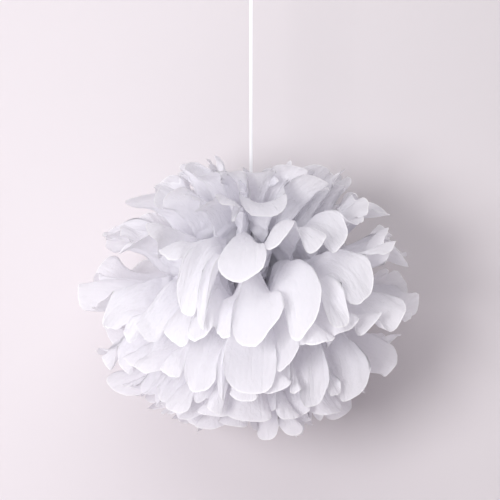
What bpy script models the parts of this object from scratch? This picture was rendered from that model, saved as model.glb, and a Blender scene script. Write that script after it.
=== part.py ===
"""A hanging pom pom of tissue paper.

Eight sheets of tissue are folded to and fro as one stack, their ends are cut round, and a wire ties the stack
at its middle. Each sheet is then pulled away from the next, four up and four down, so that the fans of all
the sheets fill a slightly flattened ball, and the whole is pulled about until it looks full. A ribbon is
knotted to the wire and ends in a loop.

Lengths are in metres. +Z is up, and the origin is at the top of the ribbon's loop, where it hangs on a hook.
The folded stack runs along X, so the slits between the left and right fans face the front, -Y, and the back.
"""

import math
import random

import bmesh
import bpy
from mathutils import Vector

# Tissue
LAYER_ANGLES = (8.0, 26.0, 45.0, 64.5)  # degrees above level of the sheets that are pulled up
PANELS = 16  # across each sheet
PANEL_WIDTH = 0.03125
SHEET_LENGTH = 0.320  # from tip to tip, flat
PETAL_DEPTH = 0.024  # of the rounded end beyond the notch
BENDING_LENGTH = 0.040  # of each petal, inwards from the notch, that bends with its tip
TISSUE = 0.0005  # paper is thinner: this wall lets each sheet be a solid
SLIT = math.radians(1.0)  # half of the slit between the left and right fans
HALF_LENGTH = SHEET_LENGTH / 2
NOTCH = HALF_LENGTH - PETAL_DEPTH
TIP_FROM = NOTCH - BENDING_LENGTH

# Folds
BROAD = 0.965  # of a panel's width shows where the folds lie over to one side
LEAST_FOLD = 0.14  # of a panel's width is the height of the flattest folds
MOST_LAID = 0.85  # of a panel's own room is taken by its neighbour there
TUCKED = 0.12  # how much shorter the narrowest petals look, which stand on edge between broad ones
LEAST_LAID = 0.6
TURNING_FOLDS = 1.2  # over which the folds change from lying over one way to the other
MOST_SWING = math.radians(23)  # of a fold out of its sheet
POLE_SHARE = 0.6  # of the way to the pole is free for the folds of the steepest sheets
FLAT_LENGTH = 0.005  # from the middle line, before the folds open
OPENING_LENGTH = 0.040

# Ball
CRUMPLE = 0.010  # of each half sheet's length is taken up by creases
BALL_RADIUS = HALF_LENGTH - CRUMPLE  # of the petals' tips, level with the tie
BALL_HALF_HEIGHT = 0.127
LEAN = math.radians(7.5)  # how far the sheets rise towards +X
BOW = math.radians(7)  # how far a steep sheet arches outwards on its way to the tips
FRONT_DROP = math.radians(30)  # how far the petals at the front flop down
DROP_MORE = math.radians(5)  # on the left, and less on the right
FRONT_ARCH = math.radians(8)  # how far the sheets at the front arch up before they fall
FRONT_STAND = math.radians(9)  # how far the upper sheets at the front stand up on the right
BACK_RISE = math.radians(20)
GATHER = math.radians(7)  # how far the sheets at the sides gather into groups
PETAL_LIFT = math.radians(3)  # of every second petal, up, and of the others, down
GROUP_LIFT = math.radians(2.0)  # of petals that rise and sink together
GROUPS = 0.9  # how fast the groups follow each other across a fan
MOST_RUFFLE = math.radians(8.5)  # that a petal may stand off its sheet

# Each petal's own differences
LIFTED = math.radians(3)
TURNED = math.radians(1.2)
SHORTEST, LONGEST = 0.95, 1.035
ROLLED = 0.5
CURLED = 0.014
CUPPED = 0.005
CUP_LEVEL = 0.6  # of the way from a cupped petal's rim to its middle, where it stays level
SWIRLED = math.radians(7)  # of a whole sheet, about the upright

# How the ball is pulled about, in radians about the tie
FLOP_SPREAD = 0.9  # on either side of the slit
SIDED = 2.5  # how quickly left and right differ, away from the slit
DROP_ANGLE = 0.12  # above level, where the front drops the most
DROP_LOWER = 0.12  # how much lower that is on the right
ARCH_ANGLE, STAND_ANGLE, STAND_HEIGHT = 0.50, 0.70, 0.5
RISE_ANGLE = -0.20  # where the back rises the most
FLOP_HEIGHT = 0.68
FALLING = 1.6  # how late on its way to the tips a sheet falls
GATHER_RATE, GATHER_SLANT = 2.8, 0.5
SWAY, SWAY_SLANT = 0.12, 1.3

# Waist, where the wire gathers the stack
GAP = 0.0003  # between pieces that touch
SHEET_GAP = 0.0005
NEAR = 0.05  # of the way to the next sheet: its direction there is the direction of the sheet's thickness
SHEET_PITCH = TISSUE + SHEET_GAP
WAIST_WIDTH = 0.012
WAIST_ROUNDING = 0.45  # how much narrower the outer sheets are pinched
WAIST_LENGTH = 0.004  # half of the straight part
FAN_FROM = 0.036  # the fans have their full angle from here on

# Wire and ribbon
WIRE = 0.0008
TWIST_LENGTH = 0.010
STRAND_OFFSET = WIRE / 2 + GAP  # of each strand from the middle of the twist
RIBBON_WIDTH = 0.0030
RIBBON = 0.0004
KNOT = 0.0034  # across the upper knot
KNOT_CORD = 0.0016  # across the gathered ribbon of the lower knot
HOOK_ABOVE_BALL = 0.178  # from the top of the ball to the top of the loop
LOOP_HEIGHT = 0.026
LOOP_WIDTH = 0.011
LOOP_SWING = 1.54  # width of the loop's curve at its widest, for a swing of 1
RUN_STEPS = 28
LOOP_STEPS = 26
RUN_TURN = (math.radians(42), math.radians(-10))  # of the ribbon from facing the front, at its bottom and top
TIE_BELOW_HOOK = BALL_HALF_HEIGHT + HOOK_ABOVE_BALL

# Lines of points across each half sheet, from its middle to the notches between its petals
ROWS = (0.0, WAIST_LENGTH, FAN_FROM / 2, FAN_FROM * 1.15, (FAN_FROM * 1.15 + NOTCH) / 2, NOTCH)
FIRST_SPLIT = 4  # the panels have a line of points along their middle from this row on
TIP_STEPS = (0.14, 0.5, 0.86)  # where the rounded end has its points, across a panel

PAPER_COLOUR = (0.90, 0.90, 0.95)
RIBBON_COLOUR = (0.93, 0.93, 0.96)
WIRE_COLOUR = (0.62, 0.63, 0.65)


def smooth(t):
    t = min(max(t, 0.0), 1.0)
    return t * t * (3 - 2 * t)


def layer_angle(sheet):
    """The angle of a sheet above level, 0 being the lowest sheet. Between the sheets it is interpolated."""
    angles = [-a for a in reversed(LAYER_ANGLES)] + list(LAYER_ANGLES)
    low = min(max(int(math.floor(sheet)), 0), len(angles) - 2)
    return math.radians(angles[low] + (angles[low + 1] - angles[low]) * (sheet - low))


def reach(angle):
    """Distance from the tie to a petal's tip at this angle above level."""
    return 1 / math.hypot(math.cos(angle) / BALL_RADIUS, math.sin(angle) / BALL_HALF_HEIGHT)


def fanned_share(along):
    """How far the paper has come from its even folds at the tie to the uneven ones at its petals, 0 to 1."""
    return smooth((along - FAN_FROM) / (HALF_LENGTH - FAN_FROM))


def panel_chord(along, angle):
    """The room that each panel has across."""
    return 2 * reach(angle) * along / HALF_LENGTH * math.cos(angle) * math.sin((math.pi / 2 - SLIT) / PANELS)


def laid_over(along, level):
    """By what share broad panels are widened, and those between them narrowed, where the folds lie over."""
    spare = BROAD * PANEL_WIDTH / max(panel_chord(along, level), 0.1 * BROAD * PANEL_WIDTH) - 1
    return min(max(spare, 0.0), MOST_LAID) * fanned_share(along)


def fold_swing(along, level):
    """How far a fold swings out of its sheet, as an angle, so that the panels keep their width. level is the
    angle above level that the sheet has there once it is pulled about."""
    radius = max(reach(level) * along / HALF_LENGTH, FAN_FROM / 2)
    chord = panel_chord(along, level) * (1 + laid_over(along, level))
    rise = 0.5 * math.sqrt(max(PANEL_WIDTH**2 - chord**2, (LEAST_FOLD * PANEL_WIDTH) ** 2))
    most = min(MOST_SWING, POLE_SHARE * max(math.pi / 2 - abs(level), 0.0))
    return min(rise / radius, most) * smooth((along - FLAT_LENGTH) / OPENING_LENGTH)


def fold_lay(sheet, side):
    """Which way each fold lies over, and how fully. The signs alternate, and turn round once in a fan."""
    own = random.Random(53 * sheet + 11 * (side > 0) + 3)
    middle, way = own.uniform(3, PANELS - 3), own.choice((-1, 1))
    lean = [way * math.tanh((c - middle) / TURNING_FOLDS) / 2 for c in range(PANELS + 1)]
    return [(-1) ** c * lean[c] * own.uniform(LEAST_LAID, 1.0) for c in range(PANELS + 1)]


def fold_heights(sheet, side):
    """How sharply each fold is left standing, 1 being a full fold, from a fixed seed. The signs alternate."""
    own = random.Random(77 * sheet + 9 * (side > 0) + 1)
    least = 0.3 + 0.6 * abs(math.sin(layer_angle(sheet)))
    return [(-1) ** c * own.uniform(least, 1.0) for c in range(PANELS + 1)]


def ruffle(sheet, side, panel):
    """Each petal's own lift, turn, stretch, roll, curl and cupping, from a fixed seed, in radians."""
    own = random.Random(1000 * sheet + 100 * (side > 0) + panel + 7)
    steep = math.sin(layer_angle(sheet))
    start = random.Random(91 * sheet + 17 * (side > 0) + 2).uniform(0, 2 * math.pi)
    group = math.sin(GROUPS * panel + start) + math.sin(1.7 * GROUPS * panel + 2.3 * start)  # has no period
    lift = (PETAL_LIFT if panel % 2 else -PETAL_LIFT) * (0.5 + 2 * steep**2) + GROUP_LIFT * group
    lift += own.uniform(-LIFTED, LIFTED)
    turn, stretch = own.uniform(-TURNED, TURNED), own.uniform(SHORTEST, LONGEST)
    roll, curl = own.uniform(-ROLLED, ROLLED), own.uniform(-CURLED, CURLED)
    return lift, turn, stretch, roll, curl, own.uniform(-CUPPED, CUPPED)


def swirl(sheet):
    """How far the petals of a sheet are turned about the upright, in radians, so that they don't line up."""
    return random.Random(31 * sheet + 5).uniform(-SWIRLED, SWIRLED)


def pull_about(side, turn, angle, out):
    """Where the sheets end up once they are fluffed by hand. At the front they arch over and fall, less so on
    the right, where the upper ones stand up. At the back they are pushed up, and at the sides they gather into
    groups. No sheet passes another. out goes from 0 where the sheets part to 1 at their tips."""

    def near(value, middle, width):
        return math.exp(-(((value - middle) / width) ** 2))

    front, back = near(turn, -math.pi / 2, FLOP_SPREAD), near(turn, math.pi / 2, FLOP_SPREAD)
    right = side * math.cos(turn)
    sided = side * min(abs(math.cos(turn)) * SIDED, 1.0)
    fall = (FRONT_DROP - DROP_MORE * sided) * near(angle, DROP_ANGLE - DROP_LOWER * sided, FLOP_HEIGHT)
    arch = FRONT_ARCH * near(angle, ARCH_ANGLE, FLOP_HEIGHT)
    stand = FRONT_STAND * max(sided, 0.0) * near(angle, STAND_ANGLE, STAND_HEIGHT)
    lifted = BACK_RISE * (1 - 0.3 * right) * near(angle, RISE_ANGLE, FLOP_HEIGHT)
    moved = angle + front * (4 * out * (1 - out) * arch - out**FALLING * fall + smooth(out) * stand)
    moved += back * out**FALLING * lifted
    moved += GATHER * math.cos(turn) * math.sin(GATHER_RATE * angle + GATHER_SLANT * right) * smooth(out)
    sway = SWAY * math.cos(turn) * math.sin(2 * turn + 2 * angle + SWAY_SLANT * side)
    return turn + sway * smooth(out), moved


def sheet_point(sheet, side, column, along, petal=None, off=0.0):
    """A point of a sheet's middle surface, column folds from its first edge and along from its middle line.
    off moves it towards the next sheet, as a share of the way."""
    off_middle = sheet + off - len(LAYER_ANGLES) + 0.5
    narrowed = 1 - WAIST_ROUNDING * (off_middle / len(LAYER_ANGLES)) ** 2
    flat = Vector((side * along, WAIST_WIDTH * narrowed * (column / PANELS - 0.5), SHEET_PITCH * off_middle))

    share = fanned_share(along)
    fold = min(int(column), PANELS - 1)
    across = column - fold
    heights, lays = fold_heights(sheet, side), fold_lay(sheet, side)
    out = min(max((along - FAN_FROM) / (HALF_LENGTH - FAN_FROM), 0.0), 1.0)
    turn = -math.pi / 2 + SLIT + (math.pi - 2 * SLIT) * column / PANELS
    arc = BOW * math.sin(math.pi * along / HALF_LENGTH)
    angle = layer_angle(sheet)
    level = pull_about(side, turn, angle + arc * math.sin(angle), out)[1]
    over = laid_over(along, level)
    laid = (lays[fold] * (1 - across) + lays[fold + 1] * across) * over
    even = (1 - 2 * across) * (-1) ** fold  # 1 on even folds, -1 on odd ones
    uneven = heights[fold] * (1 - across) + heights[fold + 1] * across
    base = layer_angle(sheet + off)
    radius = reach(base) * along / HALF_LENGTH
    turn += (math.pi - 2 * SLIT) * laid / PANELS + side * swirl(sheet) * share
    angle = base + arc * math.sin(base) + fold_swing(along, level) * (even + (uneven - even) * share)
    stretched = 1.0
    if petal is not None:
        lift, swerve, stretch, roll, curl, cup = petal
        tip = smooth((along - TIP_FROM) / (HALF_LENGTH - TIP_FROM))
        outer = min(max((along - TIP_FROM) / (HALF_LENGTH - TIP_FROM), 0.0), 1.0) ** 2
        rounding = math.sqrt(1 - (2 * across - 1) ** 2)
        rolled = roll * PANEL_WIDTH * (across - 0.5) * rounding
        rise = curl * outer + (cup * (rounding - CUP_LEVEL) + rolled) * tip
        angle += MOST_RUFFLE * math.tanh((lift * tip + rise / radius) / MOST_RUFFLE)
        turn += swerve * tip
        stretched += (stretch - 1 - TUCKED * max(lays[fold] - lays[fold + 1], 0.0) * over) * tip

    turn, angle = pull_about(side, turn, angle, out)
    radius = reach(angle) * along / HALF_LENGTH * stretched
    angle += LEAN * side * math.cos(turn) * math.cos(angle) ** 2
    ball = Vector((
        side * radius * math.cos(angle) * math.cos(turn),
        radius * math.cos(angle) * math.sin(turn),
        radius * math.sin(angle),
    ))
    fanned = smooth((along - WAIST_LENGTH) / (FAN_FROM - WAIST_LENGTH))
    return flat.lerp(ball, fanned)


def sheet_faces(bm, sheet):
    """Both faces of a sheet and the rim between them."""

    def pair(side, column, along, petal=None):
        point, above, below = (sheet_point(sheet, side, column, along, petal, off) for off in (0, NEAR, -NEAR))
        up = (above - below).normalized() * (TISSUE / 2)
        return bm.verts.new(point + up), bm.verts.new(point - up)

    middle = [pair(1, column, 0.0) for column in range(PANELS + 1)]
    for side in (1, -1):
        petals = [ruffle(sheet, side, panel) for panel in range(PANELS)]
        rows = [middle]
        splits = [None]
        for i, along in enumerate(ROWS[1:], 1):
            rows.append([pair(side, column, along) for column in range(PANELS + 1)])
            halves = i >= FIRST_SPLIT
            splits.append([pair(side, p + 0.5, along, petals[p]) for p in range(PANELS)] if halves else None)

        def face(*corners):
            bm.faces.new([c[0] for c in corners])
            bm.faces.new([c[1] for c in reversed(corners)])

        def wall(a, b):
            bm.faces.new((a[0], a[1], b[1]))
            bm.faces.new((a[0], b[1], b[0]))

        for i in range(1, len(ROWS)):
            inner, outer = rows[i - 1], rows[i]
            for p in range(PANELS):
                a, b, c, d = inner[p], outer[p], outer[p + 1], inner[p + 1]
                if splits[i] is None:
                    face(a, b, c)
                    face(a, c, d)
                    continue
                m = splits[i][p]
                n = splits[i - 1][p] if splits[i - 1] else None
                if n is None:
                    face(a, b, m)
                    face(a, m, d)
                    face(d, m, c)
                else:
                    face(a, b, m)
                    face(a, m, n)
                    face(n, m, d)
                    face(d, m, c)
            wall(inner[0], outer[0])
            wall(outer[PANELS], inner[PANELS])
        for p in range(PANELS):
            rim = [rows[-1][p]]
            for t in TIP_STEPS:
                along = HALF_LENGTH - PETAL_DEPTH * (1 - math.sqrt(1 - (2 * t - 1) ** 2))
                rim.append(pair(side, p + t, along, petals[p]))
            rim.append(rows[-1][p + 1])
            for a, b in zip(rim, rim[1:]):
                face(splits[-1][p], a, b)
                wall(a, b)


def material(name, colour, roughness, metallic=0.0):
    made = bpy.data.materials.new(name)
    made.use_nodes = True
    shader = made.node_tree.nodes["Principled BSDF"]
    shader.inputs["Base Color"].default_value = (*colour, 1.0)
    shader.inputs["Roughness"].default_value = roughness
    shader.inputs["Metallic"].default_value = metallic
    return made


def add_object(name, data, look, collection):
    made = bpy.data.objects.new(name, data)
    data.materials.append(look)
    collection.objects.link(made)
    return made


def add_sheet(sheet, look, collection, parent):
    mesh = bpy.data.meshes.new(f"tissue_sheet_{sheet + 1}")
    bm = bmesh.new()
    sheet_faces(bm, sheet)
    bmesh.ops.recalc_face_normals(bm, faces=bm.faces)
    bm.to_mesh(mesh)
    bm.free()
    made = add_object(f"tissue_sheet_{sheet + 1}", mesh, look, collection)
    made.parent = parent
    return made


def wire_route():
    """Round the waist and up both strands of the twist, in the plane of the slits."""
    half_wide = WAIST_WIDTH / 2 + GAP + WIRE
    half_high = SHEET_PITCH * (len(LAYER_ANGLES) - 0.5) + TISSUE / 2 + GAP + WIRE / 2
    steps = 16
    strand = []
    for i in range(steps + 1):
        turn = 4 * math.pi * i / steps
        rise = half_high + WIRE + TWIST_LENGTH * i / steps
        strand.append(Vector((STRAND_OFFSET * math.sin(turn), STRAND_OFFSET * math.cos(turn), rise)))
    ring = []
    for i in range(1, 20):
        turn = math.pi / 2 - 2 * math.pi * i / 20
        x, z = math.cos(turn), math.sin(turn)
        ring.append(Vector((
            0.0,
            math.copysign(abs(x) ** 0.5, x) * half_wide,
            math.copysign(abs(z) ** 0.5, z) * half_high,
        )))
    other = [Vector((-p.x, -p.y, p.z)) for p in strand]
    return list(reversed(strand)) + ring + other


def add_tube(name, points, radius, resolution, look, collection, parent):
    """A round wire or cord along straight steps between the points."""
    curve = bpy.data.curves.new(name, "CURVE")
    curve.dimensions = "3D"
    curve.bevel_depth = radius
    curve.bevel_resolution = resolution
    curve.use_fill_caps = True
    spline = curve.splines.new("POLY")
    spline.points.add(len(points) - 1)
    for made, point in zip(spline.points, points):
        made.co = (*point, 1.0)
    made = add_object(name, curve, look, collection)
    made.parent = parent
    return made


def add_ribbon(name, points, look, collection, parent, turn_from, turn_to):
    """A flat ribbon along points in the XZ plane. At no turn it faces the front, and turns are in radians."""
    mesh = bpy.data.meshes.new(name)
    bm = bmesh.new()
    rings = []
    for i, point in enumerate(points):
        ahead = (points[min(i + 1, len(points) - 1)] - points[max(i - 1, 0)]).normalized()
        side = ahead.cross(Vector((0, -1, 0))).normalized()
        turn = turn_from + (turn_to - turn_from) * i / (len(points) - 1)
        across = side * math.cos(turn) + ahead.cross(side) * math.sin(turn)
        through = ahead.cross(across).normalized()
        across, through = across * (RIBBON_WIDTH / 2), through * (RIBBON / 2)
        corners = (across + through, through - across, -across - through, across - through)
        rings.append([bm.verts.new(point + c) for c in corners])
    for a, b in zip(rings, rings[1:]):
        for i in range(4):
            j = (i + 1) % 4
            bm.faces.new((a[i], a[j], b[j], b[i]))
    bm.faces.new(rings[0][::-1])
    bm.faces.new(rings[-1])
    bmesh.ops.recalc_face_normals(bm, faces=bm.faces)
    bmesh.ops.triangulate(bm, faces=bm.faces)
    bm.to_mesh(mesh)
    bm.free()
    made = add_object(name, mesh, look, collection)
    made.parent = parent
    return made


def add_knot(name, look, collection, parent):
    """Makes a knot of the primitive that was just added."""
    made = bpy.context.object
    made.name = made.data.name = name
    for held in list(made.users_collection):
        held.objects.unlink(made)
    made.data.materials.append(look)
    made.data.shade_smooth()
    collection.objects.link(made)
    made.parent = parent
    return made


for old in list(bpy.data.objects):
    bpy.data.objects.remove(old, do_unlink=True)

parts = bpy.data.collections.new("tissue_pom_pom")
bpy.context.scene.collection.children.link(parts)

paper = material("tissue", PAPER_COLOUR, 0.85)
satin = material("satin_ribbon", RIBBON_COLOUR, 0.45)
steel = material("tie_wire", WIRE_COLOUR, 0.35, 1.0)

tie = bpy.data.objects.new("tie", None)  # the middle of the ball
tie.location = (0.0, 0.0, -TIE_BELOW_HOOK)
parts.objects.link(tie)

for sheet in range(2 * len(LAYER_ANGLES)):
    add_sheet(sheet, paper, parts, tie)

route = wire_route()
add_tube("tie_wire", route, WIRE / 2, 1, steel, parts, tie)

# The lower knot grips the top of the twisted wire, and the run starts just above both.
twist_top = route[0].z + WIRE / 2
bpy.ops.mesh.primitive_torus_add(
    major_segments=14,
    minor_segments=8,
    major_radius=STRAND_OFFSET + WIRE / 2 + GAP + KNOT_CORD / 2,
    minor_radius=KNOT_CORD / 2,
    location=(0.0, 0.0, twist_top - KNOT_CORD / 2),
)
add_knot("ribbon_tie_knot", satin, parts, tie)

loop_bottom = TIE_BELOW_HOOK - LOOP_HEIGHT
bpy.ops.mesh.primitive_uv_sphere_add(
    segments=12, ring_count=8, radius=KNOT / 2, location=(0.0, 0.0, loop_bottom - KNOT / 2)
)
add_knot("ribbon_top_knot", satin, parts, tie)

run_from = twist_top + GAP
run_length = loop_bottom - KNOT - GAP - run_from
run = [Vector((0.0, 0.0, run_from + run_length * i / RUN_STEPS)) for i in range(RUN_STEPS + 1)]
add_ribbon("hanging_ribbon", run, satin, parts, tie, *RUN_TURN)

# The loop is a drop shape, with its two ends side by side on the upper knot.
loop = []
for i in range(LOOP_STEPS + 1):
    t = i / LOOP_STEPS
    swing = math.sin(math.pi * t)
    ends = math.copysign(RIBBON / 2 + GAP, t - 0.5) * (1 - swing)
    sway = math.sin(2 * math.pi * t) * swing * LOOP_WIDTH / LOOP_SWING
    rise = GAP + RIBBON / 2 + (LOOP_HEIGHT - GAP - RIBBON) * swing**0.9
    loop.append(Vector((ends - sway, 0.0, loop_bottom + rise)))
add_ribbon("ribbon_loop", loop, satin, parts, tie, math.pi / 2, math.pi / 2)
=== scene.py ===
"""A white pom pom of tissue paper, hanging by a thin satin ribbon in front of a pale wall."""

import math
import random

import bmesh
import bpy
import numpy as np
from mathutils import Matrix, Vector, noise


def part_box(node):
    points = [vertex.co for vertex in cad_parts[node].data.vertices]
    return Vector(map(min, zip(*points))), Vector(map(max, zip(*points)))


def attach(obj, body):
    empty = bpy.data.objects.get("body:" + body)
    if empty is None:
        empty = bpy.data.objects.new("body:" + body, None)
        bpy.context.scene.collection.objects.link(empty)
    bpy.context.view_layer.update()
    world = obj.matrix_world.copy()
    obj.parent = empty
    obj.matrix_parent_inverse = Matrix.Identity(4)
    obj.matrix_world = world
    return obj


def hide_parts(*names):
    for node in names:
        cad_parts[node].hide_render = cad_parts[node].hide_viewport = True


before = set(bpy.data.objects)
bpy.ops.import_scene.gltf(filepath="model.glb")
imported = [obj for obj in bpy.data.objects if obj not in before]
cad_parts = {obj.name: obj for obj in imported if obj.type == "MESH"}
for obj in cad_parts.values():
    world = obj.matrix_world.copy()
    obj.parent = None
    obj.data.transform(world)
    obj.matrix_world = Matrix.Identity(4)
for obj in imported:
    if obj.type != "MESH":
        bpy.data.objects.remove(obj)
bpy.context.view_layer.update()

# The flat sheets, in metres. Their ends are a little blunter than the solids'.
LAYER_ANGLES = (8.0, 26.0, 45.0, 64.5)  # degrees above level of the sheets that are pulled up
PANELS = 16  # across each sheet
PANEL_WIDTH = 0.03125
SHEET_LENGTH = 0.320  # from tip to tip
PETAL_DEPTH = 0.018  # of the rounded end beyond the notch
BENDING_LENGTH = 0.040  # of each petal, inwards from the notch, that bends with its tip
LOBE_SHAPE, LOBE_POWER = 3.0, 0.45  # of the curve that a petal's end is cut to
ROUND_FROM = 0.55  # of the way to the tips, where the rows of points begin to follow the rounded ends
SLIT = math.radians(1.0)  # half of the slit between the left and right fans
HALF_LENGTH = SHEET_LENGTH / 2
NOTCH = HALF_LENGTH - PETAL_DEPTH
TIP_FROM = NOTCH - BENDING_LENGTH

# Where the folded stack is tied
SHEET_PITCH = 0.0002
WAIST_WIDTH = 0.012
WAIST_FOLD = 0.0030
WAIST_ROUNDING = 0.45  # how much narrower the outer sheets are pinched
WAIST_LENGTH = 0.004  # half of the straight part
FAN_FROM = 0.036  # the fans have their full angle from here on
TIE = Vector((0.0, 0.0, -0.305))

# Folds. LOOSE_FROM and LOOSE_OVER are shares of a panel's width.
FOLD_SHARPNESS = 0.96  # at 1 they would be creases without any width
BROAD = 0.965  # of a panel's width shows where the folds lie over to one side
MOST_LAID = 1.1  # of its own room is the most that a broad panel is widened by
LEAST_LAID = 0.6
TURNING_FOLDS = 1.2  # over which the folds change from lying over one way to the other
SIDE_STANDING = 0.75  # how much less they lie over at the sides
TUCKED = 0.12  # how much shorter the narrowest petals look, which stand on edge between broad ones
LEAST_FOLD = 0.14  # of a panel's width is the height of the flattest folds
LEAST_HEIGHT = 0.05  # of a full fold is left where one is pulled nearly flat
LOOSE_FROM, LOOSE_OVER = 0.72, 0.20  # panels that show more than this have unevenly flat folds
FLATTENING = 0.25  # of the folds beyond the notches
WIDEST = 1.6  # that a flattened petal gets, against its folded width
POLE_SHARE = 0.85  # of the way to the pole is free for the folds of the steepest sheets
MOST_TOWARDS, MOST_BACK = 0.60, 0.75  # that a fold swings towards the pole and away from it, in radians
TIGHT_HEIGHT = 0.5  # of a full fold is the least in panels that are squeezed together
LEAST_CHORD, LEAST_RADIUS = 0.003, 0.02  # that are reckoned with close to the tie
RISE_RADIUS, TURN_RADIUS = 0.03, 0.01  # the least by which metres are turned into angles there
SEAM_LAP = math.radians(9.0)  # how far the free edges shift at the slits, the right ones over the left ones
SEAM_LIFT = math.radians(2.5)

# The ball, and how it is fluffed by hand
CRUMPLE = 0.010  # of each half sheet's length is taken up by creases
BALL_RADIUS = HALF_LENGTH - CRUMPLE  # of the petals' tips, level with the tie
BALL_HALF_HEIGHT = 0.127
LEAN = math.radians(7.5)  # how far the sheets rise towards +X
BOW = math.radians(7)  # how far a steep sheet arches outwards on its way to the tips
FLOP_SPREAD, FLOP_HEIGHT = 0.9, 0.90  # how far round, and up and down, the front and the back reach
SIDED = 2.5  # how quickly left and right differ, away from the slit
FRONT_DROP = math.radians(25)  # how far the petals at the front flop down
DROP_MORE = math.radians(5)  # on the left, and less on the right
DROP_ANGLE = 0.12  # above level, where the front drops the most
DROP_LOWER = 0.12  # how much lower that is on the right
FRONT_ARCH = math.radians(8)  # how far the sheets at the front arch up before they fall
ARCH_ANGLE = 0.50
FRONT_STAND = math.radians(4)  # how far the upper sheets at the front stand up on the right
STAND_ANGLE, STAND_HEIGHT = 0.70, 0.5
FALLING = 1.6  # how late on its way to the tips a sheet falls
BACK_RISE = math.radians(20)
RISE_ANGLE = -0.20  # where the back rises the most
RISE_LESS = 0.3  # how much less it rises on the right
GATHER = math.radians(7)  # how far the sheets at the sides gather into groups
GATHER_RATE, GATHER_SLANT = 2.8, 0.5
SWAY, SWAY_SLANT = 0.12, 1.3

# How the petals differ
PETAL_LIFT = math.radians(1.0)  # of every second petal, up, and of the others, down
GROUP_LIFT = math.radians(4.6)  # of petals that rise and sink together
GROUPS = 0.9  # how fast the groups follow each other across a fan
GROUP_RATE, GROUP_START = 1.7, 2.3  # of a second wave of groups, against the first
LEVEL_LIFT, STEEP_LIFT = 0.5, 2  # of PETAL_LIFT in a level sheet, and more in a steep one
LIFTED, TURNED = 1.6, 1.2  # degrees, of each petal
SWIRLED = 7  # degrees, of a whole sheet about the upright
SHORTEST, LONGEST = 0.95, 1.035
ROLLED = 0.75
CURLED = 0.014
CURLED_IN = 0.4  # of the curl is how much closer to the tie it brings the tip
CUPPED = 0.005
CUP_LEVEL = 0.6  # of the way from a cupped petal's rim to its middle, where it stays level
MOST_RUFFLE = math.radians(8.5)  # that a petal may stand off its sheet
FREED = 0.8  # of the folds' hold on a petal is lost beyond the notches
FREED_WITHIN = 0.01  # on either side of them

# Creases. A pair in brackets is the size of the dents across and along the paper.
DENTS, DENT_HEIGHT = (0.030, 0.055), 0.0062
SMALL_DENTS, SMALL_DENT_HEIGHT = (0.011, 0.026), 0.0018
DENTS_FROM, DENTS_OVER = 0.02, 0.05
FACET, FACET_STRETCH = 0.015, 1.5
FACET_HEIGHT = 0.0022
HIGHEST_FACET = 0.8
EDGE_WAVES, EDGE_WAVE = (0.0075, 0.030), 0.0035
EDGE_WIDTH = 0.014
SCRUNCH = 0.0028
SCRUNCH_LENGTH = 0.014
SCRUNCH_UP = 0.5  # against sideways
UP_SHIFT, SIDE_SHIFT, SIDE_RATE = 0.9, 0.6, 1.7  # from one panel to the next
SCRUNCH_FROM, SCRUNCH_OVER = 0.008, 0.015
SMOOTH_FROM, SMOOTH_OVER = 0.070, 0.035

# How finely the paper is drawn
STEPS_ACROSS = 14
ROWS = 84
TIP_ROWS = 1.25  # how much closer together the rows get towards the tips
AT_FOLD = 1e-5  # of a panel from a fold, a point is on it
RIM_ROWS = 1.5  # at the tips are the rim, painted paler as a highlight where the cut edges catch the light
RIM_FOLDS = 0.01  # and so much of a panel along the two free edges

# The ribbon, as wide and turned as its solids
RIBBON_WIDTH = 0.0030
RIBBON = 0.00035
RIBBON_SIDES = 12
RIBBON_SQUARE = (0.35, 0.8)  # how square it is across and through, where 1 is round
RUN_TURN = (math.radians(42), math.radians(-10))  # from facing the front, at its bottom and top
RIBBON_STEPS = 60
LOOP_TURN = (math.pi / 2, math.pi / 2)
LOOP_WIDTH = 0.011
LOOP_SWING = 1.54  # width of the loop's curve at its widest, for a swing of 1
LOOP_ENDS = 0.0005  # from the middle line
LOOP_MARGIN = 0.0002  # inside its solid
LOOP_RISE = 0.9
KNOT_STEPS = 64
KNOT_SIDES = 10
KNOT_MIDDLE, KNOT_SWING, KNOT_HEIGHT = 0.66, 0.22, 0.55  # of half its solid's size
KNOT_CORD = 0.42
KNOT_FLAT, KNOT_HIGH = 0.7, 1.1  # of the cord's thickness

# The room and the photograph
WALL_BEHIND = 0.156
FLOOR_BELOW = 1.1
STAGE_REACH = 3.0
LAMP_COLOUR = (1.0, 0.985, 0.995)
CAMERA_AWAY = 1.35
CAMERA_LEFT = 0.0009
SENSOR = 36.0
PIXEL = 0.000882  # of the photograph, in metres at the ribbon
PHOTO_WIDTH = 500
TIE_BELOW_MIDDLE = 45  # pixels


class Amount:
    """A number that changes over a surface. Sums on it are written as plain expressions."""

    def __init__(self, look, socket):
        self.look, self.socket = look, socket

    def sum(self, operation, a, b=0.0):
        made = self.look.node("ShaderNodeMath", {"operation": operation}, {0: a, 1: b})
        return Amount(self.look, made.outputs[0])

    def __add__(self, other):
        return self.sum("ADD", self, other)

    def __mul__(self, other):
        return self.sum("MULTIPLY", self, other)

    def __sub__(self, other):
        return self.sum("SUBTRACT", self, other)

    def __rsub__(self, other):
        return self.sum("SUBTRACT", other, self)

    def __abs__(self):
        return self.sum("ABSOLUTE", self)


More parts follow.
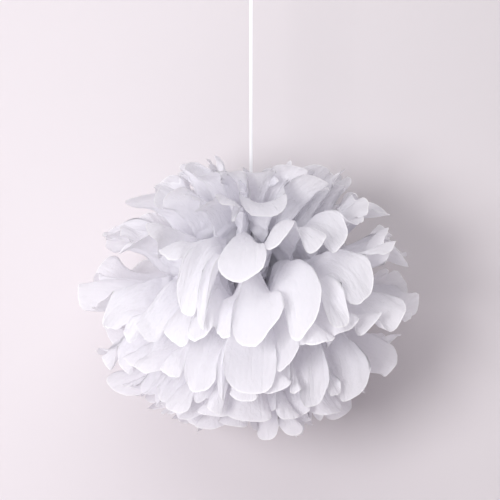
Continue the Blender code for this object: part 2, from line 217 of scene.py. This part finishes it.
class Look:
    """A material, built node by node."""

    def __init__(self, name):
        self.material = bpy.data.materials.new(name)
        self.material.use_nodes = True
        self.tree = self.material.node_tree
        self.tree.nodes.clear()
        self.out = self.tree.nodes.new("ShaderNodeOutputMaterial")

    def node(self, kind, settings=None, inputs=None):
        made = self.tree.nodes.new(kind)
        for name, value in (settings or {}).items():
            setattr(made, name, value)
        for name, value in (inputs or {}).items():
            if isinstance(value, Amount):
                value = value.socket
            if isinstance(value, bpy.types.NodeSocket):
                self.tree.links.new(value, made.inputs[name])
            else:
                made.inputs[name].default_value = value
        return made

    def amount(self, kind, settings=None, inputs=None, output=0):
        return Amount(self, self.node(kind, settings, inputs).outputs[output])

    def blend(self, share, first, second):
        """A colour between two, by how much share says."""
        made = self.node("ShaderNodeMix", {"data_type": "RGBA"}, {0: share, 6: first, 7: second})
        return made.outputs[2]

    def finish(self, shader):
        self.tree.links.new(shader.outputs[0], self.out.inputs["Surface"])
        return self.material


def smooth(t):
    """From 0 to 1 as t does, without a kink at either end."""
    t = np.clip(t, 0.0, 1.0)
    return t * t * (3 - 2 * t)


def hump(x, middle, width):
    """1 at the middle and close to 0 twice this width away."""
    return np.exp(-(((x - middle) / width) ** 2))


def layer_angle(k):
    angles = [-a for a in reversed(LAYER_ANGLES)] + list(LAYER_ANGLES)
    return math.radians(angles[k])


def reach(angle):
    """Distance from the tie to a petal's tip at this angle above level."""
    return 1 / np.hypot(np.cos(angle) / BALL_RADIUS, np.sin(angle) / BALL_HALF_HEIGHT)


def distance(angle, along):
    """Distance from the tie to a point this far along its sheet."""
    return reach(angle) * along / HALF_LENGTH


def panel_chord(radius, level):
    """The room that a panel has in its fan, this far from the tie."""
    return 2 * radius * np.cos(level) * math.sin((math.pi / 2 - SLIT) / PANELS)


def opened(along):
    """From 0 where the fans begin to 1 at the tips."""
    return smooth((along - FAN_FROM) / (HALF_LENGTH - FAN_FROM))


def laid_over(along, level, turn):
    """By what share broad panels are widened, and the ones between them narrowed, where the folds lie over.
    At the sides, where turn is 0, more of the folds stand up. level is the angle that the sheet has there."""
    share = opened(along) * (1 - SIDE_STANDING * np.cos(turn) ** 2)
    chord = np.maximum(panel_chord(distance(level, along), level), LEAST_CHORD)
    return np.clip(BROAD * PANEL_WIDTH / chord - 1, 0.0, MOST_LAID) * share


def fold_swing(along, level, turn):
    """How far the folds swing out of their sheet, so that the panels keep their width: as angles towards the
    pole and away from it, then how much wider a petal gets where it flattens beyond the notches, and last how
    loose the folds are, from 0 to 1. level is the angle that the sheet has there once it is pulled about."""
    radius = np.maximum(distance(level, along), LEAST_RADIUS)
    chord = panel_chord(radius, level) * (1 + laid_over(along, level, turn))
    rise = 0.5 * np.sqrt(np.maximum(PANEL_WIDTH**2 - chord**2, (LEAST_FOLD * PANEL_WIDTH) ** 2))
    flatter = 1 - FLATTENING * smooth((along - NOTCH) / PETAL_DEPTH)
    width = np.sqrt(np.maximum(PANEL_WIDTH**2 - (2 * rise * flatter) ** 2, 0.0))
    wide = np.clip(width / np.maximum(chord, LEAST_CHORD), 1.0, WIDEST)
    most = np.clip(POLE_SHARE * (math.pi / 2 - np.abs(level)), 0.0, MOST_TOWARDS)
    towards = np.minimum(rise / radius, most)
    back = np.minimum(2 * rise / radius - towards, MOST_BACK)
    loose = smooth((chord / PANEL_WIDTH - LOOSE_FROM) / LOOSE_OVER)
    return towards * flatter, back * flatter, wide, loose


def fold_heights(k, side):
    """How sharply each fold is left standing, 1 being a full fold. The signs alternate."""
    own = random.Random(77 * k + 9 * (side > 0) + 1)
    return [(-1) ** c * own.uniform(LEAST_HEIGHT, 1.0) for c in range(PANELS + 1)]


def fold_lay(k, side):
    """Which way each fold lies over, and how fully. The signs alternate, and turn round once in the fan."""
    own = random.Random(53 * k + 11 * (side > 0) + 3)
    middle, way = own.uniform(3, PANELS - 3), own.choice((-1, 1))
    return [(-1) ** c * way * math.tanh((c - middle) / TURNING_FOLDS) * own.uniform(LEAST_LAID, 1.0) / 2
            for c in range(PANELS + 1)]


def ruffle(k, side, panel):
    """Each petal's own lift, turn, stretch, roll, curl and cupping."""
    own = random.Random(1000 * k + 100 * (side > 0) + panel + 7)
    start = random.Random(91 * k + 17 * (side > 0) + 2).uniform(0, 2 * math.pi)
    group = math.sin(GROUPS * panel + start)
    group += math.sin(GROUP_RATE * GROUPS * panel + GROUP_START * start)
    lift = PETAL_LIFT if panel % 2 else -PETAL_LIFT
    lift *= LEVEL_LIFT + STEEP_LIFT * math.sin(layer_angle(k)) ** 2
    lift += GROUP_LIFT * group + math.radians(own.uniform(-LIFTED, LIFTED))
    turn = math.radians(own.uniform(-TURNED, TURNED))
    stretch = own.uniform(SHORTEST, LONGEST)
    roll, curl, cup = (own.uniform(-most, most) for most in (ROLLED, CURLED, CUPPED))
    return lift, turn, stretch, roll, curl, cup


def swirl(k):
    """How far the petals of sheet k are turned about the upright, so that they don't line up."""
    return math.radians(random.Random(31 * k + 5).uniform(-SWIRLED, SWIRLED))


def pull_about(side, turn, angle, out):
    """Where the sheets end up once they are fluffed by hand. At the front they arch over and fall, more so on
    the left, where on the right the upper ones stand up. At the back they are pushed up, and at the sides
    they gather into groups. out goes from 0 where the sheets part to 1 at their tips."""
    front = hump(turn, -math.pi / 2, FLOP_SPREAD)
    back = hump(turn, math.pi / 2, FLOP_SPREAD)
    right = side * np.cos(turn)
    sided = side * np.minimum(np.abs(np.cos(turn)) * SIDED, 1.0)
    fall = (FRONT_DROP - DROP_MORE * sided) * hump(angle, DROP_ANGLE - DROP_LOWER * sided, FLOP_HEIGHT)
    arch = FRONT_ARCH * hump(angle, ARCH_ANGLE, FLOP_HEIGHT)
    stand = FRONT_STAND * np.maximum(sided, 0.0) * hump(angle, STAND_ANGLE, STAND_HEIGHT)
    rise = BACK_RISE * (1 - RISE_LESS * right) * hump(angle, RISE_ANGLE, FLOP_HEIGHT)
    gather = GATHER * np.cos(turn) * np.sin(GATHER_RATE * angle + GATHER_SLANT * right)
    sway = SWAY * np.cos(turn) * np.sin(2 * turn + 2 * angle + SWAY_SLANT * side)
    moved = angle + front * (4 * out * (1 - out) * arch - out**FALLING * fall + smooth(out) * stand)
    moved = moved + rise * back * out**FALLING + gather * smooth(out)
    return turn + sway * smooth(out), moved


def crumple(k, points, size, seed):
    """Smooth noise between about -1 and 1 on the flat paper, with dents of this size."""
    shift = Vector((13.7 * k + seed, 5.1 * seed, 3.3 * k))
    return np.array([noise.noise(Vector((x / size[0], y / size[1], 0.0)) + shift) for x, y in points])


def crinkle(k, points):
    """The facets of tissue that has been handled, 0 along their creases and higher in their middles."""
    shift = Vector((3.1 * k, 7.7, 1.3 * k))
    length = FACET_STRETCH * FACET
    found = (noise.voronoi(Vector((x / FACET, y / length, 0.0)) + shift)[0] for x, y in points)
    return np.array([min(far - near, HIGHEST_FACET) for near, far, *rest in found])


def creases(k, flat, far, along):
    """How far dents, facets and the waves along the edges stand out of sheet k, in metres."""
    dents = DENT_HEIGHT * crumple(k, flat, DENTS, 1) + SMALL_DENT_HEIGHT * crumple(k, flat, SMALL_DENTS, 2)
    dents = (dents + FACET_HEIGHT * crinkle(k, flat)) * smooth((along - DENTS_FROM) / DENTS_OVER)
    return dents + EDGE_WAVE * np.exp((far - 1) * NOTCH / EDGE_WIDTH) * crumple(k, flat, EDGE_WAVES, 3)


def scrunching(along):
    """How deeply the paper is scrunched, which is close to the tie."""
    fading = 1 - smooth((along - SMOOTH_FROM) / SMOOTH_OVER)
    return SCRUNCH * smooth((along - SCRUNCH_FROM) / SCRUNCH_OVER) * fading


def in_stack(k, side, along, column, even):
    """Where the points of sheet k lie in the tied stack. even goes from 1 at a fold to -1 at the next."""
    off_middle = k - len(LAYER_ANGLES) + 0.5
    narrowed = 1 - WAIST_ROUNDING * (off_middle / len(LAYER_ANGLES)) ** 2
    y = WAIST_WIDTH * narrowed * (column / PANELS - 0.5)
    return np.stack([side * along, y, SHEET_PITCH * off_middle + WAIST_FOLD * narrowed * even], 1)


def lay_paper(k, column, run):
    """Where the points of sheet k lie, first pulled out and then flat. column counts the folds from one edge,
    and run goes from -1 at the tips on the left to 1 at those on the right."""
    side = np.where(run < 0, -1.0, 1.0)
    which = (side > 0).astype(int)
    panel = np.minimum(column.astype(int), PANELS - 1)
    across = column - panel
    rounding = np.maximum(1 - np.abs(2 * across - 1) ** LOBE_SHAPE, 0.0) ** LOBE_POWER
    far = np.abs(run)
    along = far * NOTCH + smooth((far - ROUND_FROM) / (1 - ROUND_FROM)) * PETAL_DEPTH * rounding
    flat = np.stack([column * PANEL_WIDTH, side * along], 1)
    share = opened(along)
    out = np.clip((along - FAN_FROM) / (HALF_LENGTH - FAN_FROM), 0.0, 1.0)
    tip = smooth((along - TIP_FROM) / (HALF_LENGTH - TIP_FROM))
    outer = np.clip((along - TIP_FROM) / (HALF_LENGTH - TIP_FROM), 0.0, 1.0) ** 2
    # A petal's middle moves freely. Its folds hold it as far as the notches.
    freed = FREED * smooth((along - NOTCH + FREED_WITHIN) / (2 * FREED_WITHIN))
    hold = np.sin(np.pi * across) ** (1.0 - freed)
    own = np.array([[ruffle(k, s, p) for p in range(PANELS)] for s in (-1, 1)])
    lift, swerve, stretch, roll, curl, cup = own[which, panel].T

    # Folds: ease goes from 0 at one to 1 at the next, and even from 1 to -1 and back.
    ease = 0.5 - np.arcsin(FOLD_SHARPNESS * np.cos(np.pi * across)) / math.asin(FOLD_SHARPNESS) / 2
    even = np.where(panel % 2 == 0, 1 - 2 * ease, 2 * ease - 1)
    heights = np.array([fold_heights(k, s) for s in (-1, 1)])
    uneven = heights[which, panel] * (1 - ease) + heights[which, panel + 1] * ease
    base = layer_angle(k)
    step = (math.pi - 2 * SLIT) / PANELS
    bowed = base + BOW * math.sin(base) * np.sin(np.pi * along / HALF_LENGTH)
    evenly = -math.pi / 2 + SLIT + step * column
    level = pull_about(side, evenly, bowed, out)[1]
    towards, back, wide, loose = fold_swing(along, level, evenly)
    tight = even * (TIGHT_HEIGHT + (1 - TIGHT_HEIGHT) * np.abs(uneven))
    uneven = uneven + (tight - uneven) * (1 - loose)
    wave = even + (uneven - even) * share

    # How far each point stands off its sheet: curl, cup and roll, creases, lift, and at last the folds
    radius = distance(base, along)
    scrunched = scrunching(along)
    scrunches = 2 * np.pi * along / SCRUNCH_LENGTH
    rise = curl * outer * hold + cup * tip * (rounding - CUP_LEVEL)
    rise = rise + roll * tip * PANEL_WIDTH * (across - 0.5) * rounding + creases(k, flat, far, along)
    rise = rise + SCRUNCH_UP * scrunched * np.sin(scrunches + UP_SHIFT * np.sin(column))
    away = lift * tip * hold + rise / np.maximum(radius, RISE_RADIUS)
    away = away + (MOST_RUFFLE * np.tanh(away / MOST_RUFFLE) - away) * share
    away = away + wave * np.where(wave * base > 0, towards, back)

    # How far round the upright each point is, where broad panels push the narrow ones together
    lays = np.array([fold_lay(k, s) for s in (-1, 1)])
    laid = laid_over(along, level, evenly)
    first, last = lays[which, panel] * laid, lays[which, panel + 1] * laid
    stretch = stretch - TUCKED * np.maximum(first - last, 0.0)
    columns = panel + 0.5 + (first + last) / 2 + (across - 0.5) * (1 + last - first) * wide
    wrinkle = scrunched * np.sin(scrunches + SIDE_SHIFT * np.sin(SIDE_RATE * column))
    turn = -math.pi / 2 + SLIT + step * columns + side * swirl(k) * share + swerve * tip * hold
    turn = turn + side * wrinkle / (np.maximum(radius, TURN_RADIUS) * math.cos(base))
    turn, angle = pull_about(side, turn, bowed + away, out)

    # The right fan's free edges lap over the left one's at both slits.
    edge = (np.where(panel == 0, across - 1, 0) ** 2 + np.where(panel == PANELS - 1, across, 0) ** 2) * share
    turn = turn - SEAM_LAP * edge * np.where(panel == 0, 1, -1) * side
    angle = angle + SEAM_LIFT * edge * side
    radius = distance(angle, along) * (1 + (stretch - 1) * tip * hold)
    radius = radius - CURLED_IN * np.abs(curl) * outer * hold

    angle = angle + LEAN * side * np.cos(turn) * np.cos(angle) ** 2
    level_radius = radius * np.cos(angle)
    x, y = side * level_radius * np.cos(turn), level_radius * np.sin(turn)
    ball = np.stack([x, y, radius * np.sin(angle)], 1)
    fanned = smooth((along - WAIST_LENGTH) / (FAN_FROM - WAIST_LENGTH))[:, None]
    points = in_stack(k, side, along, column, even) * (1 - fanned) + ball * fanned + np.array(TIE)
    return points, flat


def add_piece(name, bm, look, nodes):
    mesh = bpy.data.meshes.new(name)
    bm.to_mesh(mesh)
    bm.free()
    mesh.materials.append(look)
    mesh.shade_smooth()
    piece = bpy.data.objects.new(name, mesh)
    bpy.context.scene.collection.objects.link(piece)
    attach(piece, "root")
    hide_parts(*nodes)
    return piece


def add_paper(k, look):
    """One sheet of tissue, folded, tied and pulled out, drawn as a grid that follows its folds."""
    bm = bmesh.new()
    bmesh.ops.create_grid(bm, x_segments=PANELS * STEPS_ACROSS, y_segments=2 * ROWS, size=1.0)
    across = np.array([v.co.x for v in bm.verts])
    run = np.array([v.co.y for v in bm.verts])
    # The points lie closer together towards the folds and the tips.
    fold = (across + 1) / 2 * PANELS
    step = fold - np.floor(fold)
    past_fold = np.where(np.abs(step - np.round(step)) < AT_FOLD, 0.0, (1 - np.cos(np.pi * step)) / 2)
    column = np.floor(fold + AT_FOLD) + past_fold
    points, flat = lay_paper(k, column, np.sign(run) * (1 - (1 - np.abs(run)) ** TIP_ROWS))
    layer = bm.loops.layers.uv.new("flat")
    # the rim marks where the tissue's colour gets a painted highlight
    rim_highlight = bm.verts.layers.float.new("rim_highlight")
    for v, point, r, c in zip(bm.verts, points, run, column):
        v.co = point
        at_edge = c < RIM_FOLDS or c > PANELS - RIM_FOLDS
        v[rim_highlight] = 1.0 if abs(r) > 1 - RIM_ROWS / ROWS or at_edge else 0.0
    for face in bm.faces:
        for loop in face.loops:
            loop[layer].uv = flat[loop.vert.index]
    piece = add_piece(f"paper_{k + 1}", bm, look, [f"tissue_sheet_{k + 1}"])


def tissue():
    """Thin paper with fine creases that lets some light through, less so along its rims, which are painted
    paler as a highlight where the cut edges catch the light.
    """
    look = Look("white_tissue")
    flat = look.node("ShaderNodeUVMap", {"uv_map": "flat"}).outputs[0]
    stretched = look.node("ShaderNodeMapping", None, {"Vector": flat, "Scale": (1.0, 0.42, 1.0)}).outputs[0]
    fine = look.amount("ShaderNodeTexNoise", None, {"Vector": stretched, "Scale": 420.0, "Detail": 4.0})
    dents = look.amount("ShaderNodeTexNoise", None, {"Vector": stretched, "Scale": 60.0, "Detail": 4.0})
    lengthways = look.node("ShaderNodeMapping", None, {"Vector": flat, "Scale": (1.0, 0.10, 1.0)}).outputs[0]
    pleats = look.amount("ShaderNodeTexNoise", None, {"Vector": lengthways, "Scale": 120.0, "Detail": 2.0})
    ridges = 1 - abs(dents * 2.0 - 1.0) * 3.0 - abs(pleats * 2.0 - 1.0) * 2.5
    mottle = look.amount("ShaderNodeTexNoise", None, {"Vector": flat, "Scale": 260.0, "Detail": 5.0})
    rim_highlight = look.amount("ShaderNodeAttribute", {"attribute_name": "rim_highlight"}, None, 2)
    height = ridges * 0.35 + fine * 0.5
    bump = look.node("ShaderNodeBump", None, {"Height": height, "Strength": 0.8, "Distance": 0.0015})
    colour = look.blend(mottle, (0.95, 0.945, 0.98, 1), (0.98, 0.975, 1.0, 1))
    # painted highlight: the rims are paler, standing in for cut edges that catch the light
    colour = look.blend(rim_highlight, colour, (0.995, 0.99, 1.0, 1))
    share = 0.50 - rim_highlight * 0.24
    face = look.node("ShaderNodeBsdfPrincipled", None, {
        "Base Color": colour, "Roughness": 0.85, "Specular IOR Level": 0.15, "Normal": bump.outputs[0]})
    through = look.node("ShaderNodeBsdfTranslucent", None, {"Color": colour, "Normal": bump.outputs[0]})
    both = look.node("ShaderNodeMixShader", None, {0: share, 1: face.outputs[0], 2: through.outputs[0]})
    return look.finish(both)


def satin():
    look = Look("white_satin")
    place = look.node("ShaderNodeTexCoord").outputs["Object"]
    ribs = look.amount("ShaderNodeTexWave", {"bands_direction": "Z"},
                       {"Vector": place, "Scale": 900.0, "Distortion": 0.6})
    bump = look.node("ShaderNodeBump", None, {"Height": ribs, "Strength": 0.25, "Distance": 0.0001})
    colour = look.blend(ribs, (0.93, 0.93, 0.955, 1), (0.96, 0.96, 0.98, 1))
    return look.finish(look.node("ShaderNodeBsdfPrincipled", None, {
        "Base Color": colour, "Roughness": 0.5, "Sheen Weight": 0.3, "Normal": bump.outputs[0]}))


def steel():
    look = Look("soft_steel")
    place = look.node("ShaderNodeTexCoord").outputs["Object"]
    streaks = look.amount("ShaderNodeTexNoise", None, {"Vector": place, "Scale": 900.0, "Detail": 3.0})
    colour = look.blend(streaks, (0.50, 0.51, 0.53, 1), (0.70, 0.71, 0.73, 1))
    return look.finish(look.node("ShaderNodeBsdfPrincipled", None, {
        "Base Color": colour, "Roughness": streaks * 0.25 + 0.25, "Metallic": 1.0}))


def wall_paint():
    """Paint with painted shade that makes it a little darker towards the right, where the window lamp's light
    falls off, and clear from behind.
    """
    look = Look("wall_paint")
    place = look.node("ShaderNodeTexCoord").outputs["Object"]
    x = look.amount("ShaderNodeSeparateXYZ", None, {0: place})
    # painted shade: darker towards the right, as the light of the window lamp on the left falls off
    right = look.amount("ShaderNodeMapRange", {"interpolation_type": "SMOOTHSTEP"},
                        {0: x, 1: -0.16, 2: 0.34, 3: 0.0, 4: 1.0})
    colour = look.blend(right, (0.785, 0.741, 0.766, 1), (0.745, 0.706, 0.725, 1))
    paint = look.node("ShaderNodeBsdfPrincipled", None, {
        "Base Color": colour, "Roughness": 0.9, "Specular IOR Level": 0.1})
    clear = look.node("ShaderNodeBsdfTransparent")
    behind = look.node("ShaderNodeNewGeometry").outputs["Backfacing"]
    both = look.node("ShaderNodeMixShader", None, {0: behind, 1: paint.outputs[0], 2: clear.outputs[0]})
    return look.finish(both)


def add_stage():
    """The wall behind, one-sided so that it doesn't hide the back, and a floor far below."""
    for name, facing in (("wall", Vector((0, -1, 0))), ("floor", Vector((0, 0, 1)))):
        bm = bmesh.new()
        bmesh.ops.create_grid(bm, x_segments=1, y_segments=1, size=STAGE_REACH)
        for v in bm.verts:
            x, y = v.co.x, v.co.y
            v.co = (x, WALL_BEHIND, TIE.z + y) if name == "wall" else (x, y, -FLOOR_BELOW)
        for face in bm.faces:
            face.normal_update()
            if face.normal.dot(facing) < 0:
                face.normal_flip()
        mesh = bpy.data.meshes.new(name)
        bm.to_mesh(mesh)
        bm.free()
        mesh.materials.append(wall_paint())
        made = bpy.data.objects.new(name, mesh)
        bpy.context.scene.collection.objects.link(made)


def add_lamp(name, place, size, watts):
    """A round lamp at this place from the tie, turned to face it."""
    lamp = bpy.data.lights.new(name, "AREA")
    lamp.shape, lamp.size, lamp.energy, lamp.color = "DISK", size, watts, LAMP_COLOUR
    made = bpy.data.objects.new(name, lamp)
    made.location = TIE + Vector(place)
    made.rotation_euler = (-Vector(place)).to_track_quat("-Z", "Y").to_euler()
    bpy.context.scene.collection.objects.link(made)


def add_light():
    add_lamp("window", (-0.62, -1.45, 0.06), 0.6, 16.8)
    add_lamp("ceiling", (-0.10, -1.30, 1.15), 1.6, 12.0)
    world = bpy.data.worlds.new("room")
    bpy.context.scene.world = world
    world.use_nodes = True
    sky = world.node_tree.nodes["Background"]
    sky.inputs["Color"].default_value = (0.95, 0.94, 0.98, 1)
    sky.inputs["Strength"].default_value = 0.25


def add_camera():
    lens = bpy.data.cameras.new("camera")
    lens.sensor_width = SENSOR
    lens.lens = SENSOR * CAMERA_AWAY / (PHOTO_WIDTH * PIXEL)
    lens.clip_end = 20.0
    made = bpy.data.objects.new("camera", lens)
    made.location = (-CAMERA_LEFT, -CAMERA_AWAY, TIE.z + TIE_BELOW_MIDDLE * PIXEL)
    made.rotation_euler = (math.pi / 2, 0.0, 0.0)
    bpy.context.scene.collection.objects.link(made)
    bpy.context.scene.camera = made


def ring_of(bm, corners):
    """The edges round these places."""
    verts = [bm.verts.new(c) for c in corners]
    return [bm.edges.new((v, verts[(j + 1) % len(verts)])) for j, v in enumerate(verts)]


def sweep_ribbon(name, points, turn, look, nodes):
    """A flat ribbon with softly rounded edges, along points in the XZ plane, that turns as it goes."""
    bm = bmesh.new()
    rings = []
    for i, point in enumerate(points):
        ahead = (points[min(i + 1, len(points) - 1)] - points[max(i - 1, 0)]).normalized()
        side = ahead.cross(Vector((0, -1, 0))).normalized()
        angle = turn[0] + (turn[1] - turn[0]) * i / (len(points) - 1)
        across = side * math.cos(angle) + ahead.cross(side) * math.sin(angle)
        through = ahead.cross(across).normalized()
        corners = []
        for j in range(RIBBON_SIDES):
            c, s = (f(2 * math.pi * j / RIBBON_SIDES) for f in (math.cos, math.sin))
            x = math.copysign(abs(c) ** RIBBON_SQUARE[0], c) * RIBBON_WIDTH / 2
            y = math.copysign(abs(s) ** RIBBON_SQUARE[1], s) * RIBBON / 2
            corners.append(point + across * x + through * y)
        rings.append(ring_of(bm, corners))
        if i:
            bmesh.ops.bridge_loops(bm, edges=rings[-2] + rings[-1])
    for ring in (rings[0], rings[-1]):
        bmesh.ops.edgeloop_fill(bm, edges=ring)
    bmesh.ops.recalc_face_normals(bm, faces=bm.faces)
    return add_piece(name, bm, look, nodes)


def add_ribbon(look):
    """The ribbon's straight run and its loop, each in the place of its solid."""
    low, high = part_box("hanging_ribbon")
    run = [low[2] + (high[2] - low[2]) * i / RIBBON_STEPS for i in range(RIBBON_STEPS + 1)]
    run = [Vector((0.0, 0.0, z)) for z in run]
    line = sweep_ribbon("ribbon_run", run, RUN_TURN, look, ["hanging_ribbon"])
    low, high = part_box("ribbon_loop")
    loop = []
    for i in range(RIBBON_STEPS + 1):
        t = i / RIBBON_STEPS
        swing = math.sin(math.pi * t)
        ends = math.copysign(LOOP_ENDS, t - 0.5) * (1 - swing)
        x = ends - math.sin(2 * math.pi * t) * (LOOP_WIDTH / LOOP_SWING) * swing
        rise = (high[2] - low[2] - 2 * LOOP_MARGIN) * swing**LOOP_RISE
        loop.append(Vector((x, 0.0, low[2] + LOOP_MARGIN + rise)))
    eye = sweep_ribbon("ribbon_eye", loop, LOOP_TURN, look, ["ribbon_loop"])
    return line, run, eye


def add_knot(name, node, look):
    """A tight knot of ribbon in the place of its solid: a thick cord that goes over and under itself."""
    low, high = (Vector(c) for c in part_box(node))
    middle, size = (low + high) / 2, (high - low) / 2
    points = []
    for i in range(KNOT_STEPS):
        t = 2 * math.pi * i / KNOT_STEPS
        wide = KNOT_MIDDLE + KNOT_SWING * math.cos(3 * t)
        z = size.z * KNOT_HEIGHT * math.sin(3 * t)
        points.append(Vector((size.x * wide * math.cos(2 * t), size.y * wide * math.sin(2 * t), z)))
    thick = min(size) * KNOT_CORD
    bm = bmesh.new()
    rings = []
    for i, point in enumerate(points):
        ahead = (points[(i + 1) % KNOT_STEPS] - points[i - 1]).normalized()
        out = Vector((point.x, point.y, 0.0)).normalized()
        up = ahead.cross(out).normalized()
        out = up.cross(ahead)
        corners = []
        for j in range(KNOT_SIDES):
            a = 2 * math.pi * j / KNOT_SIDES
            away = out * math.cos(a) * KNOT_FLAT + up * math.sin(a) * KNOT_HIGH
            corners.append(middle + point + away * thick)
        rings.append(ring_of(bm, corners))
    for i, ring in enumerate(rings):
        bmesh.ops.bridge_loops(bm, edges=ring + rings[(i + 1) % KNOT_STEPS])
    bmesh.ops.recalc_face_normals(bm, faces=bm.faces)
    return add_piece(name, bm, look, [node])


add_camera()
white_satin = satin()
line, route, eye = add_ribbon(white_satin)
tie_knot = add_knot("knot_at_tie", "ribbon_tie_knot", white_satin)
top_knot = add_knot("knot_under_eye", "ribbon_top_knot", white_satin)
(route[-1] - route[0]).length

white_tissue = tissue()
for k in range(2 * len(LAYER_ANGLES)):
    add_paper(k, white_tissue)

wire_look = steel()
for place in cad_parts["tie_wire"].material_slots:
    place.material = wire_look

add_stage()
add_light()
bpy.context.scene.view_settings.view_transform = "Standard"
